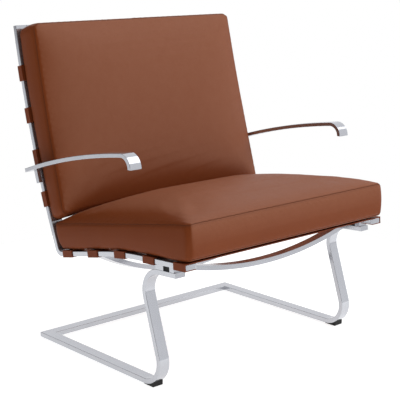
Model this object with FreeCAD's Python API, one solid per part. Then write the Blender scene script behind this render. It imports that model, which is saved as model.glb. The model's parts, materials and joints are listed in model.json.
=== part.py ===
import FreeCAD
import Part
import math
import os

# Cantilever lounge chair: flat chromed bars, leather straps, two loose leather cushions.
# Millimetres. +Z is up, the front faces -Y, and X runs from side to side.
# The origin is on the floor, at the middle of the outer box.

# Flat bar of the floor frame, and its bends
BASE_BAR_WIDTH = 30.0
BASE_BAR_THICKNESS = 12.5
BASE_BEND_RADIUS = 53.75
FLOOR_RUN = 438.5
LEG_RUN = 146.4
LEG_LEAN = 18.0
TOP_RUN = 63.8

# Flat bar of the seat and back frame, and its bends
RAIL_WIDTH = 34.0
RAIL_THICKNESS = 12.5
RAIL_CENTRE_X = 326.0
RAIL_OVERHANG = 40.0
SEAT_FRONT_SLOPE = 3.5
SEAT_FRONT_RUN = 164.0
SEAT_CURVE_RADIUS = 1000.0
SEAT_CURVE_TURN = 8.0
SEAT_REAR_RUN = 185.0
BACK_BEND_RADIUS = 18.75
BACK_BEND_TURN = 78.7
BACK_CURVE_RADIUS = 2720.0
BACK_CURVE_TURN = 12.4
RAIL_END_ROUND = 6.0
BAR_EDGE_ROUND = 1.0
UPRIGHT = 90.0

# Crossbars
CLAMP_GAP = 12.0
FRONT_CROSSBAR_WIDTH = 28.0
FRONT_CROSSBAR_STATION = 96.5
FRONT_CROSSBAR_SAG = 45.0
FRONT_CROSSBAR_END_RADIUS = 20.0
REAR_CROSSBAR_WIDTH = 30.0
REAR_CROSSBAR_THICKNESS = 12.0
REAR_CROSSBAR_STATION = 392.0
REAR_CROSSBAR_SAG = 88.0
TOP_CROSSBAR_WIDTH = 34.0

# Blocks in the clamped gap, from the crossbar forwards
RUBBER_SPACER_LENGTH = 22.0
RUBBER_SPACER_RECESS = 2.0
FRONT_SPACER_LENGTH = 15.0

# Pads on the floor
GLIDE_THICKNESS = 1.5
GLIDE_RADIUS = 12.0
FRONT_PAD_LENGTH = 36.0
FRONT_PAD_RECESS = 1.0
FRONT_PAD_NOSE_RADIUS = 3.0

# Arms, and the bracket that carries each on the back rail
ARM_WIDTH = 34.0
ARM_THICKNESS = 10.0
ARM_GAP = 3.0
ARM_STATION = 208.0
ARM_REAR_SLOPE = 19.0
ARM_ARCH_RADIUS = 1950.0
ARM_ARCH_TURN = 12.0
ARM_CURL_RADIUS = 30.0
BRACKET_LENGTH = 33.0
BRACKET_THICKNESS = 10.0

# Screws and rivets
FRAME_SCREW_RADIUS = 3.0
FRAME_SCREW_HEAD_RADIUS = 5.0
FRAME_SCREW_HEAD_HEIGHT = 5.0
FRAME_SCREW_GRIP = 7.5
ARM_SCREW_RADIUS = 2.5
ARM_SCREW_HEAD_RADIUS = 4.25
ARM_SCREW_HEAD_HEIGHT = 4.5
ARM_SCREW_GRIP = 8.0
ARM_SCREW_PITCH = 14.0
ARM_SCREW_DROP = 2.5
SCREW_CLEARANCE = 0.1
RIVET_RADIUS = 1.75
RIVET_HEAD_RADIUS = 4.0
RIVET_HEAD_HEIGHT = 1.2
RIVET_GRIP = 5.0

# Leather straps round the rails
STRAP_WIDTH = 40.0
STRAP_THICKNESS = 2.5
STRAP_LAP = 30.0
SEAT_STRAPS = 5
SEAT_STRAP_FIRST = 21.5
SEAT_STRAP_PITCH = 109.5
BACK_STRAPS = 4
BACK_STRAP_FIRST = 131.0
BACK_STRAP_PITCH = 111.0

# Cushions: height of the side panels, rise of the crowned face, and rounding
CUSHION_GAP = 0.3
COVER_THICKNESS = 2.0
CORE_GAP = 0.3
CUSHION_SIDE_INSET = 6.0
CUSHION_CORNER_INSET = 2.1
CUSHION_CORNER_STEP = 2.4
CUSHION_SHOULDER = 70.0
CUSHION_SHOULDER_SHARE = 0.84
CUSHION_CROWN_POWER = 6
CUSHION_EDGE_CROWN_SHARE = 0.04
CUSHION_SECTION_SHARES = [0.0, 0.45, 0.75, 0.9]
SEAT_CUSHION_MARGIN = 1.0
SEAT_CUSHION_HEIGHT = 91.5
SEAT_CUSHION_CROWN = 55.0
SEAT_CUSHION_NOSE = 11.0
SEAT_CUSHION_FRONT_BULGE = 6.0
SEAT_CUSHION_REAR_HEIGHT = 64.0
SEAT_CUSHION_HEEL = 6.0
SEAT_CUSHION_HEEL_BULGE = 2.7
SEAT_ZIP_HEIGHT = 38.4
BACK_CUSHION_MARGIN = 3.0
BACK_CUSHION_BOTTOM = 94.9
BACK_CUSHION_DROOP = 20.0
BACK_CUSHION_HEAD = 7.0
BACK_CUSHION_BOTTOM_THICKNESS = 57.0
BACK_CUSHION_TOP_THICKNESS = 74.0
BACK_CUSHION_CROWN = 36.0
BACK_CUSHION_TOP_BULGE = 6.0
BACK_CUSHION_BOTTOM_BULGE = 3.0
ZIP_LENGTH = 480.0
ZIP_WIDTH = 8.0
ZIP_THICKNESS = 1.2

V = FreeCAD.Vector
X_AXIS = V(1, 0, 0)


class Path:
    """Straight runs and tangent bends in a plane, walked from a start point.

    A bend turns left where its angle is positive. A station is a distance along the path,
    and an offset is a distance off it, positive to the left.
    """

    def __init__(self, start, heading):
        self.pieces = []
        self.end = start
        self.heading = math.radians(heading)
        self.length = 0.0

    def step(self, start, heading, curvature, distance):
        turned = heading + curvature * distance
        if curvature == 0.0:
            across = distance * math.cos(heading)
            up = distance * math.sin(heading)
        else:
            across = (math.sin(turned) - math.sin(heading)) / curvature
            up = (math.cos(heading) - math.cos(turned)) / curvature
        return (start[0] + across, start[1] + up), turned

    def add(self, distance, curvature):
        self.pieces.append((self.length, self.end, self.heading, curvature))
        self.end, self.heading = self.step(self.end, self.heading, curvature, distance)
        self.length += distance

    def run(self, distance):
        self.add(distance, 0.0)

    def bend(self, radius, turn):
        distance = radius * abs(math.radians(turn))
        self.add(distance, math.copysign(1.0 / radius, turn))

    def piece_at(self, station):
        found = self.pieces[0]
        for piece in self.pieces:
            if piece[0] <= station:
                found = piece
        return found

    def at(self, station, offset=0.0):
        """The point at a station and offset, and the heading there in radians."""
        begin, start, heading, curvature = self.piece_at(station)
        point, turned = self.step(start, heading, curvature, station - begin)
        left = (point[0] - offset * math.sin(turned), point[1] + offset * math.cos(turned))
        return left, turned

    def stops(self, first, last):
        """The stations where one piece of the path passes into the next."""
        inner = [piece[0] for piece in self.pieces if first < piece[0] < last]
        return [first] + inner + [last]


def point_3d(point):
    """A point of the side view, in the middle plane of the chair."""
    return V(0, point[0], point[1])


def arc_or_line(first, middle, last):
    """One edge through three points: an arc, or a line where they don't bend."""
    lean = (middle - first).cross(last - first).Length
    if lean < 1e-6 * (last - first).Length ** 2:
        return Part.makeLine(first, last)
    return Part.Arc(first, middle, last).toShape()


def side_edges(path, offset, first, last, place=point_3d):
    """Edges that follow the path at an offset, from one station to another."""
    edges = []
    stops = path.stops(first, last)
    for start, stop in zip(stops, stops[1:]):
        points = [path.at(s, offset)[0] for s in (start, (start + stop) / 2.0, stop)]
        edges.append(arc_or_line(*[place(p) for p in points]))
    return edges


def strip(path, low, high, first, last, x_low, x_high):
    """Solid between two offsets of the path, from one place across the chair to another."""
    outer = side_edges(path, low, first, last)
    inner = side_edges(path, high, first, last)
    start = Part.makeLine(outer[0].Vertexes[0].Point, inner[0].Vertexes[0].Point)
    stop = Part.makeLine(outer[-1].Vertexes[-1].Point, inner[-1].Vertexes[-1].Point)
    wire = Part.Wire(Part.__sortEdges__(outer + inner + [start, stop]))
    face = Part.Face(wire)
    face.translate(V(x_low, 0, 0))
    return face.extrude(V(x_high - x_low, 0, 0))


def soften(solid, radius=BAR_EDGE_ROUND):
    """Round the edges of a strip where its two side faces meet the rest."""
    low = solid.BoundBox.XMin
    high = solid.BoundBox.XMax
    edges = [e for e in solid.Edges if e.BoundBox.XMax < low + 0.01 or e.BoundBox.XMin > high - 0.01]
    return solid.makeFillet(radius, edges)


def mirror(shape):
    return shape.mirror(V(0, 0, 0), X_AXIS)


def along(path, station, offset):
    """The point at a station and offset, with the direction off the path there."""
    point, heading = path.at(station, offset)
    return point_3d(point), V(0, -math.sin(heading), math.cos(heading))


def rod(base, direction, radius, length):
    return Part.makeCylinder(radius, length, base, direction)


def stepped_rod(base, direction, head_radius, head_height, radius, length, clearance=0.0):
    """Head and shank on one axis, the head first, with a clearance round both."""
    head = rod(base, direction, head_radius + clearance, head_height)
    start = base + direction * head_height
    shank = rod(start, direction, radius + clearance, length + clearance - head_height)
    return head.fuse(shank).removeSplitter()


def section_in(frame, point):
    """A point of a crossbar's own plane, where across is X and up is the rail's normal."""
    origin, normal = frame
    return origin + X_AXIS * point[0] + normal * point[1]


# The three bent bars, in side view. The rear face of the floor frame is at Y = 0 until export.
HALF_BASE = BASE_BAR_THICKNESS / 2.0
HALF_RAIL = RAIL_THICKNESS / 2.0
TOP_HEADING = 180.0 - SEAT_FRONT_SLOPE

base = Path((0.0, GLIDE_THICKNESS + HALF_BASE), 180.0)
base.run(FLOOR_RUN)
base.bend(BASE_BEND_RADIUS, -(UPRIGHT + LEG_LEAN))
base.run(LEG_RUN)
base.bend(BASE_BEND_RADIUS, TOP_HEADING - (UPRIGHT - LEG_LEAN))
base.run(TOP_RUN)

above_base = base.at(base.length, -(HALF_BASE + CLAMP_GAP + HALF_RAIL))[0]
forward = (math.cos(base.heading), math.sin(base.heading))
rail_start = (above_base[0] + RAIL_OVERHANG * forward[0], above_base[1] + RAIL_OVERHANG * forward[1])

rail = Path(rail_start, -SEAT_FRONT_SLOPE)
rail.run(SEAT_FRONT_RUN)
rail.bend(SEAT_CURVE_RADIUS, -SEAT_CURVE_TURN)
rail.run(SEAT_REAR_RUN)
SEAT_END = rail.length
rail.bend(BACK_BEND_RADIUS, BACK_BEND_TURN)
BACK_START = rail.length
rail.bend(BACK_CURVE_RADIUS, BACK_CURVE_TURN)

arm_foot, arm_foot_heading = rail.at(BACK_START + ARM_STATION, -HALF_RAIL)
arm_slope = math.radians(ARM_REAR_SLOPE)
arm_start = (
    arm_foot[0] + ARM_THICKNESS / 2.0 * math.sin(arm_slope),
    arm_foot[1] + ARM_THICKNESS / 2.0 * math.cos(arm_slope),
)
arm = Path(arm_start, 180.0 - ARM_REAR_SLOPE)
arm.bend(ARM_ARCH_RADIUS, ARM_ARCH_TURN)
arm.bend(ARM_CURL_RADIUS, UPRIGHT + ARM_REAR_SLOPE - ARM_ARCH_TURN)

RAIL_INNER_X = RAIL_CENTRE_X - RAIL_WIDTH / 2.0
RAIL_OUTER_X = RAIL_CENTRE_X + RAIL_WIDTH / 2.0
BASE_INNER_X = RAIL_CENTRE_X - BASE_BAR_WIDTH / 2.0
BASE_OUTER_X = RAIL_CENTRE_X + BASE_BAR_WIDTH / 2.0
SEAT_CUSHION_HALF_WIDTH = RAIL_OUTER_X - SEAT_CUSHION_MARGIN
BACK_CUSHION_HALF_WIDTH = RAIL_OUTER_X - BACK_CUSHION_MARGIN


# Screws and rivets on the +X side
def frame_screw(station, clearance=0.0):
    """Screw from under the floor frame's top run up into the seat rail."""
    depth = HALF_RAIL + CLAMP_GAP + BASE_BAR_THICKNESS
    foot, normal = along(rail, station, -depth)
    foot = foot + X_AXIS * RAIL_CENTRE_X
    length = BASE_BAR_THICKNESS + CLAMP_GAP + FRAME_SCREW_GRIP
    return stepped_rod(
        foot, normal, FRAME_SCREW_HEAD_RADIUS, FRAME_SCREW_HEAD_HEIGHT,
        FRAME_SCREW_RADIUS, length, clearance)


def arm_screw(station, clearance=0.0):
    """Screw from the back rail's inner side out into the arm bracket."""
    foot = along(rail, station, 0.0)[0] + X_AXIS * RAIL_INNER_X
    return stepped_rod(
        foot, X_AXIS, ARM_SCREW_HEAD_RADIUS, ARM_SCREW_HEAD_HEIGHT,
        ARM_SCREW_RADIUS, RAIL_WIDTH + ARM_SCREW_GRIP, clearance)


def rivet(station):
    """Rivet through the strap's lap into the rail, from below or behind."""
    foot, normal = along(rail, station, -(HALF_RAIL + STRAP_THICKNESS + RIVET_HEAD_HEIGHT))
    foot = foot + X_AXIS * RAIL_CENTRE_X
    length = RIVET_HEAD_HEIGHT + STRAP_THICKNESS + RIVET_GRIP
    return stepped_rod(foot, normal, RIVET_HEAD_RADIUS, RIVET_HEAD_HEIGHT, RIVET_RADIUS, length)


SPACER_FRONT = FRONT_CROSSBAR_STATION - FRONT_CROSSBAR_WIDTH / 2.0 - RUBBER_SPACER_LENGTH
FRONT_SCREW_STATION = SPACER_FRONT - FRONT_SPACER_LENGTH / 2.0
FRAME_SCREW_STATIONS = [FRONT_CROSSBAR_STATION, FRONT_SCREW_STATION]

BRACKET_TOP = BACK_START + ARM_STATION
BRACKET_FOOT = BRACKET_TOP - BRACKET_LENGTH
FIRST_ARM_SCREW = BRACKET_FOOT + (BRACKET_LENGTH - ARM_SCREW_PITCH) / 2.0 - ARM_SCREW_DROP
ARM_SCREW_STATIONS = [FIRST_ARM_SCREW, FIRST_ARM_SCREW + ARM_SCREW_PITCH]

SEAT_STRAP_STATIONS = [SEAT_STRAP_FIRST + i * SEAT_STRAP_PITCH for i in range(SEAT_STRAPS)]
BACK_STRAP_STATIONS = [
    BACK_START + BACK_STRAP_FIRST + i * BACK_STRAP_PITCH for i in range(BACK_STRAPS)]
STRAP_STATIONS = SEAT_STRAP_STATIONS + BACK_STRAP_STATIONS

frame_screws = [frame_screw(s) for s in FRAME_SCREW_STATIONS]
frame_screw_holes = [frame_screw(s, SCREW_CLEARANCE) for s in FRAME_SCREW_STATIONS]
arm_screws = [arm_screw(s) for s in ARM_SCREW_STATIONS]
arm_screw_holes = [arm_screw(s, SCREW_CLEARANCE) for s in ARM_SCREW_STATIONS]
rivets = [rivet(s) for s in STRAP_STATIONS]


# Floor frame
def base_rear_crossbar():
    """Flat bar on the floor between the side bars, its ends mitred."""
    corners = [
        V(-BASE_OUTER_X, 0, 0), V(BASE_OUTER_X, 0, 0),
        V(BASE_INNER_X, -BASE_BAR_WIDTH, 0), V(-BASE_INNER_X, -BASE_BAR_WIDTH, 0)]
    face = Part.Face(Part.makePolygon(corners + corners[:1]))
    face.translate(V(0, 0, GLIDE_THICKNESS))
    return face.extrude(V(0, 0, BASE_BAR_THICKNESS))


def base_side_bar():
    """Floor rail, leg and top run of one side, bent from one flat bar."""
    bar = strip(base, -HALF_BASE, HALF_BASE, 0.0, base.length, BASE_INNER_X, BASE_OUTER_X)
    bar = soften(bar).cut(base_rear_crossbar())
    return bar.cut(frame_screw_holes)


def soft_crossbar():
    """The rear crossbar with its long edges rounded."""
    bar = base_rear_crossbar()
    edges = [e for e in bar.Edges if e.Length > BASE_INNER_X]
    return bar.makeFillet(BAR_EDGE_ROUND, edges)


def front_pad():
    """Wedge that fills the space between the floor and the front bend."""
    centre = base.at(FLOOR_RUN, -BASE_BEND_RADIUS)[0]
    outer = BASE_BEND_RADIUS + HALF_BASE

    def on_bend(back):
        return (centre[0] - back, centre[1] - math.sqrt(outer ** 2 - back ** 2))

    nose = FRONT_PAD_NOSE_RADIUS
    tip = on_bend(FRONT_PAD_LENGTH)
    front = tip[0]
    lean = nose * (1.0 - math.sqrt(0.5))
    edges = [
        Part.Arc(
            point_3d(on_bend(0.0)), point_3d(on_bend(FRONT_PAD_LENGTH / 2.0)), point_3d(tip)
        ).toShape(),
        Part.makeLine(point_3d(tip), point_3d((front, nose))),
        Part.Arc(
            point_3d((front, nose)), point_3d((front + lean, lean)), point_3d((front + nose, 0.0))
        ).toShape(),
        Part.makeLine(point_3d((front + nose, 0.0)), point_3d((centre[0], 0.0))),
        Part.makeLine(point_3d((centre[0], 0.0)), point_3d(on_bend(0.0))),
    ]
    face = Part.Face(Part.Wire(edges))
    face.translate(V(BASE_INNER_X + FRONT_PAD_RECESS, 0, 0))
    return face.extrude(V(BASE_BAR_WIDTH - 2.0 * FRONT_PAD_RECESS, 0, 0))


def rear_glide():
    """Thin disc under the rear corner of the floor frame."""
    place = V(RAIL_CENTRE_X, -BASE_BAR_WIDTH / 2.0, 0)
    return rod(place, V(0, 0, 1), GLIDE_RADIUS, GLIDE_THICKNESS)


# Seat and back frame
def side_rail():
    """Seat rail and curved back rail of one side, bent from one flat bar."""
    bar = strip(rail, -HALF_RAIL, HALF_RAIL, 0.0, rail.length, RAIL_INNER_X, RAIL_OUTER_X)
    short = [e for e in bar.Edges if e.Length < 1.01 * RAIL_THICKNESS]
    front = [e for e in short if e.BoundBox.YMax < rail_start[0] + RAIL_THICKNESS]
    bar = soften(bar.makeFillet(RAIL_END_ROUND, front))
    return bar.cut(frame_screw_holes + arm_screw_holes + rivets)


def back_top_crossbar():
    """Flat bar between the top ends of the back rails, its wide face upright."""
    first = rail.length - TOP_CROSSBAR_WIDTH
    return strip(rail, -HALF_RAIL, HALF_RAIL, first, rail.length, -RAIL_INNER_X, RAIL_INNER_X)


def crossbar_frame(station, offset, width):
    """Origin and normal of a crossbar's plane, and how it is pulled to its width."""
    origin, normal = along(rail, station - width / 2.0, offset)
    return (origin, normal), normal.cross(X_AXIS) * width


def seat_front_crossbar():
    """Bowed bar whose flat ends are clamped between the seat rail and the floor frame."""
    flat = BASE_BAR_WIDTH
    half = BASE_OUTER_X - flat
    turn = math.degrees(2.0 * math.atan(FRONT_CROSSBAR_SAG / half))
    bow = half / math.sin(math.radians(turn)) - FRONT_CROSSBAR_END_RADIUS
    line = Path((-BASE_OUTER_X, 0.0), 0.0)
    line.run(flat)
    line.bend(FRONT_CROSSBAR_END_RADIUS, -turn)
    line.bend(bow, 2.0 * turn)
    line.bend(FRONT_CROSSBAR_END_RADIUS, -turn)
    line.run(flat)
    frame, pull = crossbar_frame(FRONT_CROSSBAR_STATION, -HALF_RAIL - CLAMP_GAP, FRONT_CROSSBAR_WIDTH)

    def place(point):
        return section_in(frame, point)

    lower = side_edges(line, 0.0, 0.0, line.length, place)
    upper = side_edges(line, CLAMP_GAP, 0.0, line.length, place)
    ends = [
        Part.makeLine(lower[0].Vertexes[0].Point, upper[0].Vertexes[0].Point),
        Part.makeLine(lower[-1].Vertexes[-1].Point, upper[-1].Vertexes[-1].Point),
    ]
    face = Part.Face(Part.Wire(Part.__sortEdges__(lower + upper + ends)))
    holes = frame_screw_holes + [mirror(h) for h in frame_screw_holes]
    return face.extrude(pull).cut(holes)


def seat_rear_crossbar():
    """Deeply bowed bar between the inner faces of the seat rails."""
    half = RAIL_INNER_X
    lean = 2.0 * math.atan(REAR_CROSSBAR_SAG / half)
    end_height = REAR_CROSSBAR_THICKNESS / math.cos(lean)
    frame, pull = crossbar_frame(REAR_CROSSBAR_STATION, -end_height / 2.0, REAR_CROSSBAR_WIDTH)
    corners = [(-half, 0.0), (half, 0.0), (half, end_height), (-half, end_height)]
    left_low, right_low, right_high, left_high = [section_in(frame, c) for c in corners]
    low = section_in(frame, (0.0, -REAR_CROSSBAR_SAG))
    high = section_in(frame, (0.0, REAR_CROSSBAR_THICKNESS - REAR_CROSSBAR_SAG))
    edges = [
        Part.Arc(left_low, low, right_low).toShape(),
        Part.makeLine(right_low, right_high),
        Part.Arc(right_high, high, left_high).toShape(),
        Part.makeLine(left_high, left_low),
    ]
    return Part.Face(Part.Wire(edges)).extrude(pull)


def spacer(first, length, recess):
    """Block between the seat rail and the floor frame's top run."""
    low = -HALF_RAIL - CLAMP_GAP
    x_low = BASE_INNER_X + recess
    x_high = BASE_OUTER_X - recess
    return strip(rail, low, -HALF_RAIL, first, first + length, x_low, x_high)


# Arms
def arm_bar():
    """Arched flat bar, curled down at its front end."""
    x_low = RAIL_OUTER_X + ARM_GAP
    return soften(strip(arm, -ARM_THICKNESS / 2.0, ARM_THICKNESS / 2.0, 0.0, arm.length,
                        x_low, x_low + ARM_WIDTH))


def arm_bracket():
    """Plate on the rail's outer side that carries the arm from below."""
    top = BRACKET_TOP + ARM_THICKNESS
    x_high = RAIL_OUTER_X + BRACKET_THICKNESS
    plate = strip(rail, -HALF_RAIL, HALF_RAIL, BRACKET_FOOT, top, RAIL_OUTER_X, x_high)
    above = strip(arm, -BRACKET_LENGTH, ARM_THICKNESS / 2.0, 0.0, arm.length, RAIL_OUTER_X, x_high)
    return plate.cut(above).cut(arm_screw_holes)


# Straps
def strap(station):
    """Band over both rails, wrapped round their outer edges and lapped on the far side."""
    first = station - STRAP_WIDTH / 2.0
    last = station + STRAP_WIDTH / 2.0
    outer_x = RAIL_OUTER_X + STRAP_THICKNESS
    lap_x = RAIL_OUTER_X - STRAP_LAP
    low = -HALF_RAIL - STRAP_THICKNESS
    high = HALF_RAIL + STRAP_THICKNESS
    block = strip(rail, low, high, first, last, -outer_x, outer_x)
    past = STRAP_THICKNESS
    hollow = strip(rail, -HALF_RAIL, HALF_RAIL, first - past, last + past, -RAIL_OUTER_X, RAIL_OUTER_X)
    opening = strip(rail, low - past, HALF_RAIL, first - past, last + past, -lap_x, lap_x)
    return block.cut([hollow.fuse(opening)] + rivets + [mirror(r) for r in rivets])


# Cushions
def bowed(first, last, rise):
    """Arc between two points, its middle standing out to the right of the way it goes."""
    middle = (first + last) / 2.0
    way = (last - first).normalize()
    out = V(0, way.z, -way.y)
    return Part.Arc(first, middle + out * rise, last).toShape()


def crowned(first, last, crown):
    """Three arcs: a shoulder, a gentle crown and a shoulder, out to the right.

    Half way up a shoulder, the rise is that of a parabola whose end has the crown's slope.
    """
    way = last - first
    length = way.Length
    way.normalize()
    out = V(0, way.z, -way.y)
    shoulder = CUSHION_SHOULDER
    height = CUSHION_SHOULDER_SHARE * crown
    slope = 2.0 * (crown - height) / (length / 2.0 - shoulder)
    half_way = (3.0 * height - slope * shoulder) / 4.0

    def at(distance, rise):
        return first + way * distance + out * rise

    rises = [
        (0.0, 0.0), (shoulder / 2.0, half_way), (shoulder, height), (length / 2.0, crown),
        (length - shoulder, height), (length - shoulder / 2.0, half_way), (length, 0.0)]
    points = [at(*r) for r in rises]
    return [Part.Arc(*points[i:i + 3]).toShape() for i in (0, 2, 4)]


CUSHION_OFFSET = HALF_RAIL + STRAP_THICKNESS + CUSHION_GAP


def seat_section(inset, crown):
    """Side outline of the seat cushion, drawn in by an inset."""
    offset = CUSHION_OFFSET + inset
    nose = -SEAT_CUSHION_NOSE + inset
    heel = SEAT_END - SEAT_CUSHION_HEEL
    rise = BACK_START + SEAT_CUSHION_HEEL
    under = side_edges(rail, offset, nose, heel)
    rear = side_edges(rail, offset, rise, BACK_START + SEAT_CUSHION_REAR_HEIGHT - inset)
    corner_first = under[-1].Vertexes[-1].Point
    corner_last = rear[0].Vertexes[0].Point
    corner = bowed(corner_first, corner_last, SEAT_CUSHION_HEEL_BULGE)
    rear_seam = rear[-1].Vertexes[-1].Point
    front_seam = point_3d(rail.at(nose, CUSHION_OFFSET + SEAT_CUSHION_HEIGHT - inset)[0])
    top = crowned(rear_seam, front_seam, crown)
    front = bowed(front_seam, under[0].Vertexes[0].Point, SEAT_CUSHION_FRONT_BULGE)
    return under + [corner] + rear + top + [front]


def back_section(inset, crown):
    """Side outline of the back cushion, drawn in by an inset; it droops where it isn't crowned."""
    offset = CUSHION_OFFSET + inset
    droop = BACK_CUSHION_DROOP * (1.0 - crown / BACK_CUSHION_CROWN)
    foot = BACK_START + BACK_CUSHION_BOTTOM + inset
    head = rail.length - BACK_CUSHION_HEAD - inset
    rear = side_edges(rail, offset, foot - droop / 2.0, head)
    top_seam = point_3d(rail.at(head, CUSHION_OFFSET + BACK_CUSHION_TOP_THICKNESS - inset)[0])
    low_seam = point_3d(rail.at(foot - droop, CUSHION_OFFSET + BACK_CUSHION_BOTTOM_THICKNESS - inset)[0])
    top = bowed(rear[-1].Vertexes[-1].Point, top_seam, BACK_CUSHION_TOP_BULGE)
    front = crowned(top_seam, low_seam, crown)
    bottom = bowed(low_seam, rear[0].Vertexes[0].Point, BACK_CUSHION_BOTTOM_BULGE)
    return rear + [top] + front + [bottom]


def cushion(section, half_width, crown, inset):
    """Loft across the chair: crowned in the middle, drawn in at both sides."""
    places = [(share * half_width, 0.0) for share in CUSHION_SECTION_SHARES]
    places.append((half_width - 2.0 * CUSHION_SIDE_INSET, 0.0))
    places.append((half_width - CUSHION_CORNER_STEP, CUSHION_CORNER_INSET))
    places.append((half_width, CUSHION_SIDE_INSET))
    right = []
    for across, drawn in places:
        share = across / half_width
        rise = crown * max(1.0 - share ** CUSHION_CROWN_POWER, CUSHION_EDGE_CROWN_SHARE)
        wire = Part.Wire(section(inset + drawn, rise))
        wire.translate(V(share * (half_width - inset), 0, 0))
        right.append(wire)
    left = [mirror(w) for w in reversed(right[1:])]
    return Part.makeLoft(left + right, True, False)


def cushion_pieces(section, half_width, crown, zip_place):
    """Cover, foam core, and a zip that lies on the cover at a given place."""
    outer = cushion(section, half_width, crown, 0.0)
    hollow = cushion(section, half_width, crown, COVER_THICKNESS)
    core = cushion(section, half_width, crown, COVER_THICKNESS + CORE_GAP)
    skin = cushion(section, half_width, crown, -ZIP_THICKNESS)
    box = Part.makeBox(ZIP_LENGTH, 2.0 * COVER_THICKNESS + 4.0 * ZIP_THICKNESS, ZIP_WIDTH)
    box.translate(V(-ZIP_LENGTH / 2.0, -COVER_THICKNESS - 2.0 * ZIP_THICKNESS, -ZIP_WIDTH / 2.0))
    point, heading = zip_place
    box.rotate(V(0, 0, 0), X_AXIS, math.degrees(heading) - UPRIGHT)
    box.translate(point)
    tape = skin.common(box).cut(outer)
    return outer.cut(hollow), core, tape


seat_zip_point, seat_zip_heading = rail.at(BACK_START + SEAT_ZIP_HEIGHT, CUSHION_OFFSET)
seat_cover, seat_core, seat_zip = cushion_pieces(
    seat_section, SEAT_CUSHION_HALF_WIDTH, SEAT_CUSHION_CROWN,
    (point_3d(seat_zip_point), seat_zip_heading))
back_zip_point, back_zip_heading = rail.at(
    BACK_START + BACK_CUSHION_BOTTOM - BACK_CUSHION_BOTTOM_BULGE,
    CUSHION_OFFSET + BACK_CUSHION_BOTTOM_THICKNESS / 2.0)
back_cover, back_core, back_zip = cushion_pieces(
    back_section, BACK_CUSHION_HALF_WIDTH, BACK_CUSHION_CROWN,
    (point_3d(back_zip_point), back_zip_heading - math.pi / 2.0))

# The outer box runs from the seat cushion's front to the top of the back rails
front_y = Part.Wire(seat_section(0.0, SEAT_CUSHION_CROWN)).BoundBox.YMin
rear_y = rail.at(rail.length, -HALF_RAIL)[0][0]
SHIFT = V(0, -(front_y + rear_y) / 2.0, 0)

os.makedirs("parts", exist_ok=True)


def save(name, shape):
    moved = shape.copy()
    moved.translate(SHIFT)
    moved.exportStep("parts/" + name + ".step")


def save_pair(name, shape):
    save(name + "_right", shape)
    save(name + "_left", mirror(shape))


def save_group(name, solids):
    """One node that holds the pieces of both sides."""
    save(name, Part.makeCompound(solids + [mirror(s) for s in solids]))


save_pair("base_side_bar", base_side_bar())
save("base_rear_crossbar", soft_crossbar())
save_pair("front_floor_pad", front_pad())
save_group("rear_glides", [rear_glide()])

save_pair("side_rail", side_rail())
save("back_top_crossbar", back_top_crossbar())
save("seat_front_crossbar", seat_front_crossbar())
save("seat_rear_crossbar", seat_rear_crossbar())
save_pair("rubber_spacer", spacer(SPACER_FRONT, RUBBER_SPACER_LENGTH, RUBBER_SPACER_RECESS))
chromed_block = spacer(SPACER_FRONT - FRONT_SPACER_LENGTH, FRONT_SPACER_LENGTH, 0.0)
save_pair("front_spacer", chromed_block.cut(frame_screw_holes))
save_group("frame_screws", frame_screws)

save_pair("arm", arm_bar())
save_pair("arm_bracket", arm_bracket())
save_group("arm_screws", arm_screws)

for number, station in enumerate(SEAT_STRAP_STATIONS, 1):
    save("seat_strap_%d" % number, strap(station))
for number, station in enumerate(BACK_STRAP_STATIONS, 1):
    save("back_strap_%d" % number, strap(station))
save_group("strap_rivets", rivets)

save("seat_cushion_cover", seat_cover)
save("seat_cushion_core", seat_core)
save("seat_cushion_zip", seat_zip)
save("back_cushion_cover", back_cover)
save("back_cushion_core", back_core)
save("back_cushion_zip", back_zip)

clearance = seat_cover.distToShape(back_cover)[0]
print("between the cushions: %.2f mm" % clearance)
print("moved by %.2f mm to centre the outer box" % SHIFT.y)
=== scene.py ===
# %% [markdown]
# # A cantilever lounge chair in leather and chrome
#
# The chair is a springy frame of bent flat bar, chromed and polished. Brown leather straps span its
# rails, and two loose leather cushions lie on them. The bars, screws, pads and straps come ready-made
# as solids. This file gives them their finishes, and makes what a solid can't be: two stuffed leather
# cushions with sewn seams and zips. We begin by loading the solids as a fixed frame.

# %% Load the frame
import bpy
import json
import numpy as np
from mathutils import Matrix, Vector
from mathutils.bvhtree import BVHTree


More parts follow.
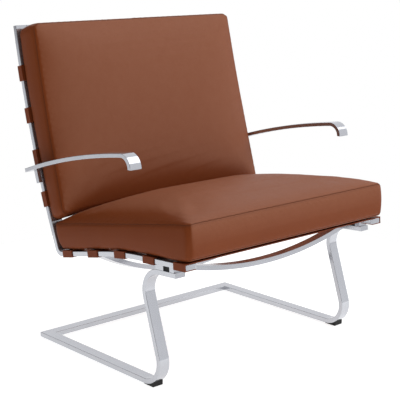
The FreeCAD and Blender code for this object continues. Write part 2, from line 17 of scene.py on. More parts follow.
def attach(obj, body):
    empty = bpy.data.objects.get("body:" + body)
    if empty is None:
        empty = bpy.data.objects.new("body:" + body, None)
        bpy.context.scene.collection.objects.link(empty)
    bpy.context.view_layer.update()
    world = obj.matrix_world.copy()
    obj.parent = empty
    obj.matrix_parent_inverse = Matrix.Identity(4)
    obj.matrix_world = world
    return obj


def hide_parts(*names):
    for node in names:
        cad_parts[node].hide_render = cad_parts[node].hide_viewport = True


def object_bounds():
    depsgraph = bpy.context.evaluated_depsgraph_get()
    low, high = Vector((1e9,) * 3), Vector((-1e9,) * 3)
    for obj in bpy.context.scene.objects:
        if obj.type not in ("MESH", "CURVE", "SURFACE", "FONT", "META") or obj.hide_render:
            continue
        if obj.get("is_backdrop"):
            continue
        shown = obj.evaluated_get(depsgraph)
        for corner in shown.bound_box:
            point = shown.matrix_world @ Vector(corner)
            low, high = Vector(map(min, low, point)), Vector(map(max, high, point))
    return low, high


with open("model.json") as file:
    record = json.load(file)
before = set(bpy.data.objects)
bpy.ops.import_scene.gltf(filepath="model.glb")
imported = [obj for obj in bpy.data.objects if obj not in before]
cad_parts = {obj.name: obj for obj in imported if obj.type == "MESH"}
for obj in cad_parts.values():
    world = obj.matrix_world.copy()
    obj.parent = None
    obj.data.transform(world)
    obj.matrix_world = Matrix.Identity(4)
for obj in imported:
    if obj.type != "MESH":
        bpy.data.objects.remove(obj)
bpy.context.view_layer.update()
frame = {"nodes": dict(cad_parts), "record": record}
print("solids:", len(frame["nodes"]))

# %% [markdown]
# ## Writing shader maths as sums
#
# A material is a net of nodes. Placing dozens of Math nodes by hand hides the idea, so a small class
# wraps one output and lets us write `1 - mask * 0.5` instead. Every other kind of node comes from one
# method, which takes its settings first and then the values or links of its inputs.

# %% Sockets that can be added and multiplied
class Socket:
    """One output of a node. Sums, differences and products of it add Math nodes."""

    def __init__(self, net, source):
        self.net = net
        self.source = source

    def math(self, operation, first, second=0.0):
        return self.net.node("ShaderNodeMath", {"operation": operation}, {0: first, 1: second})["Value"]

    def __add__(self, other):
        return self.math("ADD", self, other)

    def __sub__(self, other):
        return self.math("SUBTRACT", self, other)

    def __rsub__(self, other):
        return self.math("SUBTRACT", other, self)

    def __mul__(self, other):
        return self.math("MULTIPLY", self, other)

    __radd__ = __add__
    __rmul__ = __mul__

    def sine(self):
        return self.math("SINE", self)


class Net:
    """The node tree of one material or of the world."""

    def __init__(self, tree):
        self.tree = tree
        tree.nodes.clear()

    def node(self, kind, settings=None, sockets=None):
        made = self.tree.nodes.new(kind)
        for name, value in (settings or {}).items():
            if name == "stops":
                self.set_stops(made.color_ramp, value)
            else:
                setattr(made, name, value)
        for name, value in (sockets or {}).items():
            self.plug(made, name, value)
        return {s.name: Socket(self, s) for s in made.outputs if s.enabled}

    def set_stops(self, ramp, stops):
        while len(ramp.elements) < len(stops):
            ramp.elements.new(0.5)
        for element, (place, colour) in zip(ramp.elements, stops):
            element.position = place
            element.color = colour

    def plug(self, made, name, value):
        if isinstance(name, int):
            socket = made.inputs[name]
        else:
            socket = [s for s in made.inputs if s.enabled and s.name == name][0]
        if isinstance(value, Socket):
            self.tree.links.new(value.source, socket)
        else:
            socket.default_value = value


def new_material(name):
    material = bpy.data.materials.new(name)
    material.use_nodes = True
    return material, Net(material.node_tree)


def finish_material(net, sockets):
    """Ends a net with one Principled shader that holds these sockets."""
    shader = net.node("ShaderNodeBsdfPrincipled", None, sockets)["BSDF"]
    net.node("ShaderNodeOutputMaterial", None, {"Surface": shader})


def mix_colours(net, factor, first, second):
    sockets = {"Factor": factor, "A": first, "B": second}
    return net.node("ShaderNodeMix", {"data_type": "RGBA"}, sockets)["Result"]


def noise(net, place, scale, detail=2.0, roughness=0.5):
    sockets = {"Vector": place, "Scale": scale, "Detail": detail, "Roughness": roughness}
    return net.node("ShaderNodeTexNoise", None, sockets)["Fac"]


def smooth_step(net, value, first, last, low=0.0, high=1.0):
    sockets = {"Value": value, "From Min": first, "From Max": last, "To Min": low, "To Max": high}
    return net.node("ShaderNodeMapRange", {"interpolation_type": "SMOOTHSTEP"}, sockets)["Result"]


def bumps(net, height, strength, distance):
    sockets = {"Strength": strength, "Distance": distance, "Height": height}
    return net.node("ShaderNodeBump", None, sockets)["Normal"]


def object_place(net):
    return net.node("ShaderNodeTexCoord")["Object"]


print("helpers ready")

# %% [markdown]
# ## Chrome, steel and rubber
#
# Chrome plate is a mirror that gives back about two thirds of the light, a little blue. Nearly all its
# look comes from what stands round it. Real bars still show cloudy polish marks and a slight waviness
# from bending and buffing, which we add as slow changes of roughness and height. A thin film of haze
# from hands and dust takes a little of the mirror away. The screws and rivets
# are plain steel, duller, with fine turned marks. The pads and spacers are black moulded rubber.

# %% Chrome
POLISH = 0.07
MIRROR_SHARE = 0.84
CHROME_DEEP = (0.49, 0.505, 0.54, 1.0)
CHROME_PALE = (0.55, 0.56, 0.59, 1.0)


def chrome_material():
    material, net = new_material("polished_chrome")
    place = object_place(net)
    clouds = noise(net, place, 18.0, 3.0)
    wipes = noise(net, place, 420.0, 2.0, 0.6)
    waves = noise(net, place, 7.0, 1.0)
    finish_material(net, {
        "Base Color": mix_colours(net, clouds, CHROME_DEEP, CHROME_PALE),
        "Metallic": MIRROR_SHARE,
        "Roughness": POLISH + clouds * 0.05 + wipes * 0.03,
        "Normal": bumps(net, waves, 0.05, 0.003),
    })
    return material


chrome = chrome_material()
print("made", chrome.name)


# %% Steel and rubber
STEEL_DEEP = (0.45, 0.46, 0.48, 1.0)
STEEL_PALE = (0.62, 0.62, 0.63, 1.0)
RUBBER_CLEAN = (0.002, 0.002, 0.002, 1.0)
RUBBER_DUSTY = (0.007, 0.007, 0.006, 1.0)


def steel_material():
    material, net = new_material("turned_steel")
    marks = noise(net, object_place(net), 900.0, 2.0, 0.7)
    finish_material(net, {
        "Base Color": mix_colours(net, marks, STEEL_DEEP, STEEL_PALE),
        "Metallic": 1.0,
        "Roughness": 0.24 + marks * 0.14,
        "Normal": bumps(net, marks, 0.15, 0.0002),
    })
    return material


def rubber_material():
    material, net = new_material("black_rubber")
    place = object_place(net)
    grain = noise(net, place, 1400.0, 2.0, 0.6)
    dust = noise(net, place, 60.0, 4.0, 0.6)
    finish_material(net, {
        "Base Color": mix_colours(net, dust, RUBBER_CLEAN, RUBBER_DUSTY),
        "Roughness": 0.45 + dust * 0.22,
        "Specular IOR Level": 0.3,
        "Normal": bumps(net, grain, 0.3, 0.0002),
    })
    return material


steel = steel_material()
rubber = rubber_material()
print("made", steel.name, "and", rubber.name)

# %% [markdown]
# ## Leather
#
# Dyed full-grain leather has a skin of small pebbles, about a millimetre across, with fine creases
# between them. Its dye is never quite even, and use polishes some places and dulls others. Voronoi
# cells give the pebbles and slow noises the dye and the polish. Under the dye the brown is strong:
# the paler look of the lit faces is partly their soft shine. On the cushions it is also a painted
# sheen: a paler, greyer colour on faces turned up, kept off the side strips, fronts and undersides.
# The straps are thicker, flatter and redder, and one function makes both from a few numbers.

# %% Leather
PEBBLE = 1.1e-3
CUSHION_GRAIN_DEPTH = 2.2e-4
STRAP_PEBBLE = 0.8 * PEBBLE
STRAP_GRAIN_DEPTH = 1.5e-4
LEATHER_SHINE = 0.14
CUSHION_PALE = (0.235, 0.052, 0.0100, 1.0)
CUSHION_DEEP = (0.190, 0.038, 0.0065, 1.0)
# Paler, greyer tone painted on faces turned up: a painted sheen.
PAINTED_SHEEN_TONE = (0.302, 0.110, 0.0560, 1.0)
STRAP_PALE = (0.250, 0.058, 0.0170, 1.0)
STRAP_DEEP = (0.165, 0.034, 0.0090, 1.0)


def painted_sheen_share(net, blotches):
    """Share of the painted sheen tone, from the facing direction: most on faces turned up, none on side
    strips, little on upright fronts and undersides; blotches vary it a little.
    """
    facing = net.node("ShaderNodeSeparateXYZ", None, {"Vector": net.node("ShaderNodeTexCoord")["Normal"]})
    sideways = smooth_step(net, facing["X"] * facing["X"], 0.01, 0.30, 0.9, 0.0)
    upright = smooth_step(net, facing["Z"], -0.05, 0.20, 0.15, 1.0)
    return sideways * upright * (0.8 + blotches * 0.4)


def leather_material(name, pale, deep, pebble, smoothest, depth, sheen_paint=None):
    """Cells as pebbles, slow noise as uneven dye; smoothest is the roughness of the pebbles' tops."""
    material, net = new_material(name)
    place = object_place(net)
    bends = net.node("ShaderNodeTexNoise", None, {"Vector": place, "Scale": 0.35 / pebble, "Detail": 2.0})
    bent = net.node("ShaderNodeVectorMath", {"operation": "MULTIPLY_ADD"}, {
        0: bends["Color"], 1: (pebble, pebble, pebble), 2: place})["Vector"]
    cells = net.node("ShaderNodeTexVoronoi", {"feature": "DISTANCE_TO_EDGE"}, {
        "Vector": bent, "Scale": 1.0 / pebble})["Distance"]
    valleys = smooth_step(net, cells, 0.0, 0.22, 1.0, 0.0)
    creases = noise(net, place, 0.12 / pebble, 5.0, 0.62)
    dye = noise(net, place, 6.0, 3.0, 0.55)
    blotches = noise(net, place, 38.0, 4.0, 0.6)
    polish = noise(net, place, 11.0, 2.0, 0.5)
    ground = mix_colours(net, dye * 0.6 + blotches * 0.4, deep, pale)
    # Painted sheen and painted shade: the paler tone where faces turn up, the deep dye on side strips,
    # fronts and undersides.
    if sheen_paint:
        ground = mix_colours(net, painted_sheen_share(net, blotches), ground, sheen_paint)
    dark = tuple(0.6 * part for part in deep[:3]) + (1.0,)
    finish_material(net, {
        "Base Color": mix_colours(net, valleys * 0.3, ground, dark),
        "Roughness": smoothest + valleys * 0.14 + blotches * 0.08 + polish * 0.08,
        "Specular IOR Level": LEATHER_SHINE,
        "Normal": bumps(net, creases * 0.5 - valleys * 0.6, 0.3, depth),
    })
    return material


cushion_leather = leather_material(
    "cushion_leather", CUSHION_PALE, CUSHION_DEEP, PEBBLE, 0.38, CUSHION_GRAIN_DEPTH, PAINTED_SHEEN_TONE)
strap_leather = leather_material(
    "strap_leather", STRAP_PALE, STRAP_DEEP, STRAP_PEBBLE, 0.36, STRAP_GRAIN_DEPTH)
print("made", cushion_leather.name, "and", strap_leather.name)


# %% [markdown]
# Inside each cover is pale open foam, which shows only if the cover is taken off. The zip's tape and
# the sewing thread are both woven: one function crosses two waves for the threads, and adds fuzz.

# %% Foam, zip tape and thread
FOAM_DEEP = (0.60, 0.55, 0.40, 1.0)
FOAM_PALE = (0.86, 0.82, 0.68, 1.0)
TAPE_DEEP = (0.018, 0.007, 0.004, 1.0)
TAPE_PALE = (0.055, 0.022, 0.012, 1.0)
THREAD_DEEP = (0.060, 0.016, 0.006, 1.0)
THREAD_PALE = (0.150, 0.045, 0.018, 1.0)


def foam_material():
    material, net = new_material("open_foam")
    cells = net.node("ShaderNodeTexVoronoi", None, {"Vector": object_place(net), "Scale": 900.0})
    pores = cells["Distance"]
    finish_material(net, {
        "Base Color": mix_colours(net, pores, FOAM_DEEP, FOAM_PALE),
        "Roughness": 0.95,
        "Normal": bumps(net, pores, 0.5, 0.0005),
    })
    return material


def woven_material(name, dark, pale, threads):
    """Two crossed sine waves, the one along X and the other along Z, as warp and weft."""
    material, net = new_material(name)
    split = net.node("ShaderNodeSeparateXYZ", None, {"Vector": object_place(net)})
    weave = (split["X"] * threads).sine() * (split["Z"] * threads).sine() * 0.5 + 0.5
    fuzz = noise(net, object_place(net), 700.0, 3.0, 0.6)
    finish_material(net, {
        "Base Color": mix_colours(net, weave * 0.6 + fuzz * 0.4, dark, pale),
        "Roughness": 0.70 + fuzz * 0.2,
        "Normal": bumps(net, weave, 0.4, 0.0002),
    })
    return material


foam = foam_material()
tape = woven_material("zip_tape", TAPE_DEEP, TAPE_PALE, 9000.0)
thread = woven_material("brown_thread", THREAD_DEEP, THREAD_PALE, 14000.0)
print("made", foam.name, tape.name, "and", thread.name)

# %% [markdown]
# ## Dressing the solids
#
# Each solid names the finish that it has in real life. We look that name up and give the solid our
# own material for it. Nothing is moved: the bars stay exactly where they were bent.

# %% Give each solid its finish
FINISHES = {
    "chrome": chrome, "steel": steel, "black_rubber": rubber, "leather": cushion_leather,
    "strap_leather": strap_leather, "foam": foam, "zip_tape": tape,
}
finish_of = {part["node"]: part["material_slot"] for part in frame["record"]["subparts"]}
for name, solid in frame["nodes"].items():
    solid.data.materials.clear()
    solid.data.materials.append(FINISHES[finish_of[name]])
print("dressed", len(frame["nodes"]), "solids")

# %% [markdown]
# ## Surfaces from formulas
#
# A closed skin is a set of rings of equal length, one inside or below the other, with one point at
# each pole. A tube is a circle carried along a line. Small helpers turn such grids of points into
# meshes, and repeat one small shape many times in a single mesh.

# %% Grids into meshes
NO_VOLUME = 1e-12


def facing_out(points, faces):
    """Turns all faces over if the solid they enclose has a negative volume."""
    corners = points[np.array([face[:3] for face in faces])]
    volume = np.einsum("nc,nc->", corners[:, 0], np.cross(corners[:, 1], corners[:, 2]))
    return [face[::-1] for face in faces] if volume < -NO_VOLUME else faces


def new_piece(name, points, faces, material):
    points = points.reshape(-1, 3)
    mesh = bpy.data.meshes.new(name)
    mesh.from_pydata(points, [], facing_out(points, [list(face) for face in faces]))
    mesh.polygons.foreach_set("use_smooth", np.ones(len(mesh.polygons), dtype=bool))
    mesh.materials.append(material)
    piece = bpy.data.objects.new(name, mesh)
    bpy.context.scene.collection.objects.link(piece)
    return piece


def ring_faces(rings, around):
    """Quads between neighbouring rings, each ring closed on itself."""
    ring, step = np.meshgrid(np.arange(rings - 1), np.arange(around), indexing="ij")
    ahead = (step + 1) % around
    below = (ring + 1) * around
    corners = [ring * around + step, below + step, below + ahead, ring * around + ahead]
    return np.stack(corners, axis=-1).reshape(-1, 4)


def closed_skin(name, rings, first_pole, last_pole, material):
    """Rings of points from one pole to the other, as one closed mesh."""
    count, around = rings.shape[:2]
    points = np.concatenate([rings.reshape(-1, 3), [first_pole], [last_pole]])
    step = np.arange(around)
    ahead = (step + 1) % around
    last = (count - 1) * around
    top = np.stack([np.full(around, count * around), step, ahead], axis=1)
    bottom = np.stack([np.full(around, count * around + 1), last + ahead, last + step], axis=1)
    faces = ring_faces(count, around).tolist() + top.tolist() + bottom.tolist()
    return new_piece(name, points, faces, material)


def closed_tube(name, line, out, up, radius, material, around=8):
    """Tube round a closed line: cosine of the angle outwards plus sine of it upwards."""
    angle = np.linspace(0.0, 2.0 * np.pi, around, endpoint=False)
    outwards = np.cos(angle)[None, :, None] * out[:, None, :]
    upwards = np.sin(angle)[None, :, None] * up[:, None, :]
    points = line[:, None, :] + radius * (outwards + upwards)
    faces = ring_faces(len(line) + 1, around) % (len(line) * around)
    return new_piece(name, points, faces[:, ::-1].tolist(), material)


def repeated(name, shape, faces, places, axes, material):
    """One small shape set down many times: each point is place + shape in the axes there."""
    points = places[:, None, :] + np.einsum("pk,nkc->npc", shape, axes)
    offset = (np.arange(len(places)) * len(shape))[:, None, None]
    all_faces = (np.array(faces)[None] + offset).reshape(-1, len(faces[0]))
    return new_piece(name, points, all_faces.tolist(), material)


def read_points(mesh):
    points = np.empty(len(mesh.vertices) * 3)
    mesh.vertices.foreach_get("co", points)
    return points.reshape(-1, 3)


def write_points(mesh, points):
    mesh.vertices.foreach_set("co", points.ravel())
    mesh.update()


print("mesh helpers ready")

# %% [markdown]
# ## The cushions' patterns
#
# Each cushion is a box of leather panels round a foam block: a flat panel that lies on the straps,
# a crowned panel that one sits or leans on, and a strip sewn between them, with upright seams at its
# four corners. We first find where the straps carry the cushions, by shooting rays at the solids.
# The seams are set from there, and the skin is filled in between them.

# %% Where the straps carry the cushions
def skin_of(piece):
    mesh = piece.data
    return BVHTree.FromPolygons(read_points(mesh).tolist(), [list(p.vertices) for p in mesh.polygons])


def first_hits(node, starts, way):
    """Where straight rays first meet a solid, as (y, z) pairs."""
    skin = skin_of(frame["nodes"][node])
    hits = [skin.ray_cast(Vector(start), Vector(way))[0] for start in starts]
    return np.array([[hit.y, hit.z] for hit in hits])


SEAT_NOSE, SEAT_HEEL = -0.3425, 0.1610
SEAT_PROBES = np.linspace(SEAT_NOSE + 0.008, 0.145, 15)
BACK_FOOT, BACK_HEAD = 0.3500, 0.8205
BACK_PROBES = np.linspace(0.365, 0.812, 15)
under_seat = first_hits("seat_cushion_cover", [(0.0, y, -1.0) for y in SEAT_PROBES], (0, 0, 1))
behind_back = first_hits("back_cushion_cover", [(0.0, 1.0, z) for z in BACK_PROBES], (0, -1, 0))
seat_rest = np.polyfit(under_seat[:, 0], under_seat[:, 1], 5)
back_rest = np.polyfit(behind_back[:, 1], behind_back[:, 0], 3)
print("the seat rests from z %.4f to %.4f" % (under_seat[0, 1], under_seat[-1, 1]))

# %% [markdown]
# In side view each cushion has a low seam curve, on the straps, and a high seam curve, towards the
# sitter. The plan is a rectangle with rounded corners, measured along its edge so that its points
# are evenly spaced on all but one stretch. The crown is a product of two steep powers, because
# wadding makes the middle almost flat and lets it drop quickly to the seams.

# %% A cushion's skin
AROUND = 400
CORNER_STEPS = 4001
FACE_RINGS = 46
SIDE_RINGS = 16
EDGE_CROWDING = 1.6


def rounded_rectangle(half_width, half_length, radius, count=AROUND):
    """Points of a rectangle whose corners are quarter circles, from the middle of its +X side.

    They are evenly spaced, but for the last step: it runs from the last corner straight back to
    the first point.
    """
    angle = np.linspace(0.0, 2.0 * np.pi, CORNER_STEPS)
    corner_x = np.sign(np.cos(angle)) * (half_width - radius) + radius * np.cos(angle)
    corner_y = np.sign(np.sin(angle)) * (half_length - radius) + radius * np.sin(angle)
    walked = np.concatenate([[0.0], np.cumsum(np.hypot(np.diff(corner_x), np.diff(corner_y)))])
    evenly = np.linspace(0.0, walked[-1], count, endpoint=False)
    return np.interp(evenly, walked, corner_x), np.interp(evenly, walked, corner_y)


class Cushion:
    """Plan outline, seams and skin of one cushion.

    low(share) and high(share) give the two seam curves in side view as arrays of (y, z), for a
    share from 0 at one end to 1 at the other. x and s run from -1 to 1 over the plan. settle moves
    finished points to where they lie once the cushion is set down.
    """

    def __init__(self, name, half_width, half_length, corner, low, high, crown, powers, belly, settle):
        self.name = name
        self.half_width = half_width
        self.low = low
        self.high = high
        self.crown = crown
        self.powers = powers
        self.belly = belly
        self.settle = settle
        x, s = rounded_rectangle(half_width, half_length, corner)
        self.x = x / half_width
        self.s = s / half_length

    def place(self, x, s, height):
        """Point at x and s, at a height off the low curve on the way to the high one."""
        share = (s + 1.0) / 2.0
        low = self.low(share)
        way = self.high(share) - low
        spot = low + way / np.linalg.norm(way, axis=-1, keepdims=True) * height[..., None]
        point = np.concatenate([(self.half_width * x)[..., None], spot], axis=-1)
        return self.settle(point)

    def thickness(self, s):
        share = (s + 1.0) / 2.0
        return np.linalg.norm(self.high(share) - self.low(share), axis=-1)

    def rise(self, x, s):
        """Crown: full in the middle, falling to nothing at the seams as two steep powers."""
        across, along = self.powers
        return self.crown * (1.0 - np.abs(x) ** across) * (1.0 - np.abs(s) ** along)

    def seam(self, high):
        """The low seam for high 0, the high one for high 1."""
        return self.place(self.x, self.s, self.thickness(self.s) * high)

    def face(self, radius, high):
        """Rings of the crowned panel or of the panel on the straps."""
        x = radius[:, None] * self.x
        s = radius[:, None] * self.s
        height = self.thickness(s) + self.rise(x, s) if high else 0.0 * s
        return self.place(x, s, height)

    def rings(self):
        """Rings from the crowned pole over the high seam, down the sides, to the low pole."""
        near = np.linspace(0.0, 1.0, FACE_RINGS + 1)[1:]
        radius = 1.0 - (1.0 - near) ** EDGE_CROWDING
        down = np.linspace(0.0, 1.0, SIDE_RINGS + 1)[1:-1][:, None]
        out = self.belly * np.sin(np.pi * down)
        x = self.x * (1.0 + out / self.half_width)
        s = self.s * (1.0 + out / self.half_width)
        side = self.place(x, s, (1.0 - down) * self.thickness(s))
        return np.concatenate([self.face(radius, True), side, self.face(radius[::-1], False)])

    def poles(self):
        middle = np.zeros(1)
        top = self.place(middle, middle, self.thickness(middle) + self.crown)[0]
        return top, self.place(middle, middle, middle)[0]


print("pattern ready")

# %% [markdown]
# The seat cushion's low seam follows the seat rails and turns up at the heel. Its high seam is
# straight in side view. The back cushion is the same thing stood up, a little thicker at its head
# than at its foot. It was set down by hand: its foot stands forward at one side, and it droops at both
# sides where the seat's crown falls away. `settle_back` moves its points so.

# %% Seat and back cushions
SEAT_SEAM_LIFT = 0.006
SEAT_TOP_NOSE = (-0.3385, 0.4195)
SEAT_TOP_HEEL = (0.1885, 0.3270)
BACK_FRONT_FOOT = (0.1455, 0.3700)
BACK_FRONT_HEAD = (0.2590, 0.8380)
BACK_FRONT_HOLLOW = 0.007
STRAP_GAP = 0.001
HEEL_TURN_UP = 0.006
HEEL_SHARE = 0.03
NOSE_SHARE = 0.05
LAST_STRAIGHT_Y = 0.148


def straight(first, last, share, hollow=0.0):
    """Line between two points, with a bow whose middle stands back by hollow."""
    first = np.array(first)
    way = np.array(last) - first
    off = np.array([way[1], -way[0]]) / np.linalg.norm(way)
    bow = 4.0 * hollow * share * (1.0 - share)
    return first + way * share[..., None] + off * bow[..., None]


def seat_low(share):
    y = SEAT_NOSE + (SEAT_HEEL - SEAT_NOSE) * share
    turn_up = HEEL_TURN_UP * np.clip((share - (1.0 - HEEL_SHARE)) / HEEL_SHARE, 0.0, 1.0) ** 2
    lift = SEAT_SEAM_LIFT * (1.0 - np.clip(share / NOSE_SHARE, 0.0, 1.0)) + STRAP_GAP
    rest = np.polyval(seat_rest, np.minimum(y, LAST_STRAIGHT_Y))
    return np.stack([y, rest + lift + turn_up], axis=-1)


def seat_high(share):
    return straight(SEAT_TOP_NOSE, SEAT_TOP_HEEL, share)


def back_low(share):
    z = BACK_FOOT + (BACK_HEAD - BACK_FOOT) * share
    return np.stack([np.polyval(back_rest, z) - STRAP_GAP, z], axis=-1)


def back_high(share):
    return straight(BACK_FRONT_FOOT, BACK_FRONT_HEAD, share, BACK_FRONT_HOLLOW)


def as_laid(point):
    return point


FORWARD_HEAD = 0.005
FORWARD_FOOT = 0.020
REAR_SHARE = 0.4
LIFT_RIGHT = 0.005
DROOP = 0.022
DROOP_REAR_SHARE = 0.85
DROOP_POWER = 6
STRIP_DEPTH = 0.057


def settle_back(point):
    """Forward and up towards the +X side, more at the foot, and down at both lower corners.

    The droop grows with the square of x and with the sixth power of the nearness to the foot.
    """
    x, y, z = point[..., 0], point[..., 1], point[..., 2]
    side = np.clip((x + BACK_HALF_WIDTH) / (2.0 * BACK_HALF_WIDTH), 0.0, 1.0)
    foot = np.clip((BACK_HEAD - z) / (BACK_HEAD - BACK_FOOT), 0.0, 1.0)
    front = np.clip((np.polyval(back_rest, z) - y) / STRIP_DEPTH, 0.0, 1.0)
    forward = side * (FORWARD_HEAD + FORWARD_FOOT * foot) * (REAR_SHARE + (1.0 - REAR_SHARE) * front)
    droop = DROOP * (x / BACK_HALF_WIDTH) ** 2 * foot ** DROOP_POWER
    droop = droop * (DROOP_REAR_SHARE + (1.0 - DROOP_REAR_SHARE) * front)
    return np.stack([x, y - forward, z + LIFT_RIGHT * side - droop], axis=-1)


SEAT_HALF_WIDTH = 0.3415
BACK_HALF_WIDTH = 0.3400
seat = Cushion(
    "seat_cushion", SEAT_HALF_WIDTH, half_length=0.265, corner=0.014, low=seat_low, high=seat_high,
    crown=0.041, powers=(14, 6), belly=0.003, settle=as_laid)
back = Cushion(
    "back_cushion", BACK_HALF_WIDTH, half_length=0.235, corner=0.018, low=back_low, high=back_high,
    crown=0.024, powers=(9, 8), belly=0.003, settle=settle_back)
print("seat and back patterns, crowned by", seat.crown, "and", back.crown)

# %% [markdown]
# ## Stuffing
#
# Foam and wadding press on the leather from inside, and the seams hold it back. Blender's cloth
# solver does just that when it is given a pressure. The skin is first remeshed into even squares.
# Points near a seam, and those on the straps, are pinned. Then twenty steps of pressure swell the
# panels between them. Stout leather holds no small creases, so the moves are evened out, and no point
# may move further than a set distance.

# %% Blow up the skins
VOXEL = 0.007
PRESSURE = 4.0
TAUTNESS = 60.0
STEPS = 20
CLOTH_QUALITY = 4
LIMIT = 0.022
EVENING = 14
PIN_WIDTH = 0.008
LEAST_PIN = 0.02
REST_PIN = 0.9
PIN_HOLD = 0.6
REST_RINGS = 40
REST_REACH = 0.98


def evaluated_mesh(piece):
    graph = bpy.context.evaluated_depsgraph_get()
    return bpy.data.meshes.new_from_object(piece.evaluated_get(graph))


def nearness(points, line, width):
    """Bell curve of the distance from a closed line, 1 on it, and the distance itself."""
    tree = BVHTree.FromPolygons(
        np.concatenate([line, line]).tolist(),
        [[i, (i + 1) % len(line), len(line) + i] for i in range(len(line))])
    gap = np.array([tree.find_nearest(Vector(p))[3] for p in points])
    return np.exp(-(gap / width) ** 2), gap


def remeshed(piece):
    remesh = piece.modifiers.new("even_squares", "REMESH")
    remesh.mode = "VOXEL"
    remesh.voxel_size = VOXEL
    mesh = evaluated_mesh(piece)
    piece.modifiers.clear()
    piece.data = mesh


def evened(moved, mesh, rounds):
    """Averages each point's move with its neighbours' moves, which takes small creases out."""
    edges = np.array([edge.vertices[:] for edge in mesh.edges])
    count = np.bincount(edges.ravel(), minlength=len(moved))[:, None]
    for _ in range(rounds):
        around = np.zeros_like(moved)
        np.add.at(around, edges[:, 0], moved[edges[:, 1]])
        np.add.at(around, edges[:, 1], moved[edges[:, 0]])
        moved = 0.5 * moved + 0.5 * around / count
    return moved


def blow_up(piece, pins):
    """Cloth under pressure, held at its pins; the moved points are kept within the limit."""
    rest = read_points(piece.data)
    group = piece.vertex_groups.new(name="pins")
    for index in np.flatnonzero(pins > LEAST_PIN):
        group.add([int(index)], float(pins[index]), "REPLACE")
    cloth = piece.modifiers.new("stuffing", "CLOTH")
    cloth.point_cache.frame_start = 1
    cloth.point_cache.frame_end = STEPS
    settings = cloth.settings
    settings.quality = CLOTH_QUALITY
    settings.tension_stiffness = settings.compression_stiffness = TAUTNESS
    settings.shear_stiffness = TAUTNESS / 3.0
    settings.use_pressure = True
    settings.uniform_pressure_force = PRESSURE
    settings.effector_weights.gravity = 0.0
    settings.vertex_group_mass = "pins"
    for step in range(1, STEPS + 1):
        bpy.context.scene.frame_set(step)
    moved = read_points(evaluated_mesh(piece)) - rest
    bpy.context.scene.frame_set(1)
    piece.modifiers.clear()
    piece.vertex_groups.clear()
    moved = evened(moved, piece.data, EVENING) * (1.0 - PIN_HOLD * pins[:, None])
    far = np.linalg.norm(moved, axis=1, keepdims=True)
    write_points(piece.data, rest + moved * np.minimum(1.0, LIMIT / np.maximum(far, 1e-9)))
    return float(far.max())


def stuffed(cushion):
    """The cushion as a mesh that rides with its body in place of the plain solids."""
    top, bottom = cushion.poles()
    piece = closed_skin(cushion.name, cushion.rings(), top, bottom, cushion_leather)
    remeshed(piece)
    points = read_points(piece.data)
    pins = np.zeros(len(points))
    for high in (0.0, 1.0):
        pins = np.maximum(pins, nearness(points, cushion.seam(high), PIN_WIDTH)[0])
    low = cushion.face(np.linspace(0.0, REST_REACH, REST_RINGS), False).reshape(-1, 3)
    panel = BVHTree.FromPolygons(low.tolist(), ring_faces(REST_RINGS, AROUND).tolist())
    resting = np.array([panel.find_nearest(Vector(p))[3] for p in points]) < 0.5 * VOXEL
    pins = np.maximum(pins, REST_PIN * resting)
    print(cushion.name, "swelled by up to %.1f mm" % (1000 * blow_up(piece, pins)))
    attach(piece, cushion.name)
    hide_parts(cushion.name + "_cover", cushion.name + "_core")
    return piece


seat_piece = stuffed(seat)
back_piece = stuffed(back)
print("points:", len(seat_piece.data.vertices), len(back_piece.data.vertices))

# %% [markdown]
# ## Seams
#
# Where two panels are sewn, their edges are turned in: the skin dips into a narrow valley. The thread
# pulls small puckers into the leather on both sides. We refine the skin once, then press the valley
# and the puckers in along the seam lines, as a bell curve of the distance from the line.

# %% Press the seams in
VALLEY = 0.0016
VALLEY_WIDTH = 0.0035
PUCKER = 0.0004
PUCKER_WIDTH = 0.010
PUCKER_OFFSET = 0.006
PUCKER_PITCH = 0.013
PUCKER_BEAT = 2.7
CORNER_POINTS = 30


def refine(piece):
    finer = piece.modifiers.new("finer", "SUBSURF")
    finer.levels = finer.render_levels = 1
    mesh = evaluated_mesh(piece)
    piece.modifiers.clear()
    piece.data = mesh
    mesh.polygons.foreach_set("use_smooth", np.ones(len(mesh.polygons), dtype=bool))


def corner_seams(cushion):
    """The four upright seams: the line up the middle of each rounded corner, by its two signs."""
    lines = []
    for across, along in ((1, 1), (-1, 1), (-1, -1), (1, -1)):
        corner = int(np.argmax(across * cushion.x + along * cushion.s))
        x = np.full(CORNER_POINTS, cushion.x[corner])
        s = np.full(CORNER_POINTS, cushion.s[corner])
        height = np.linspace(0.0, 1.0, CORNER_POINTS) * cushion.thickness(s)
        lines.append(cushion.place(x, s, height))
    return lines


def vertex_normals(mesh):
    normals = np.empty(len(mesh.vertices) * 3)
    mesh.vertices.foreach_get("normal", normals)
    return normals.reshape(-1, 3)


def press_seams(piece, cushion):
    """Along the normal: minus a valley, and a ripple that dies away beside the seam."""
    refine(piece)
    points = read_points(piece.data)
    normal = vertex_normals(piece.data)
    turn = 2.0 * np.pi * points.sum(axis=1) / PUCKER_PITCH
    ripple = np.sin(turn) * np.sin(turn / PUCKER_BEAT)
    depth = np.zeros(len(points))
    for line in (cushion.seam(0.0), cushion.seam(1.0)):
        valley, gap = nearness(points, line, VALLEY_WIDTH)
        depth -= VALLEY * valley
        depth += PUCKER * ripple * np.exp(-((gap - PUCKER_OFFSET) / PUCKER_WIDTH) ** 2)
    for line in corner_seams(cushion):
        there_and_back = np.concatenate([line, line[-2:0:-1]])
        depth -= VALLEY * nearness(points, there_and_back, VALLEY_WIDTH)[0]
    write_points(piece.data, points + normal * depth[:, None])


for piece, cushion in ((seat_piece, seat), (back_piece, back)):
    press_seams(piece, cushion)
    print(piece.name, "faces:", len(piece.data.polygons))

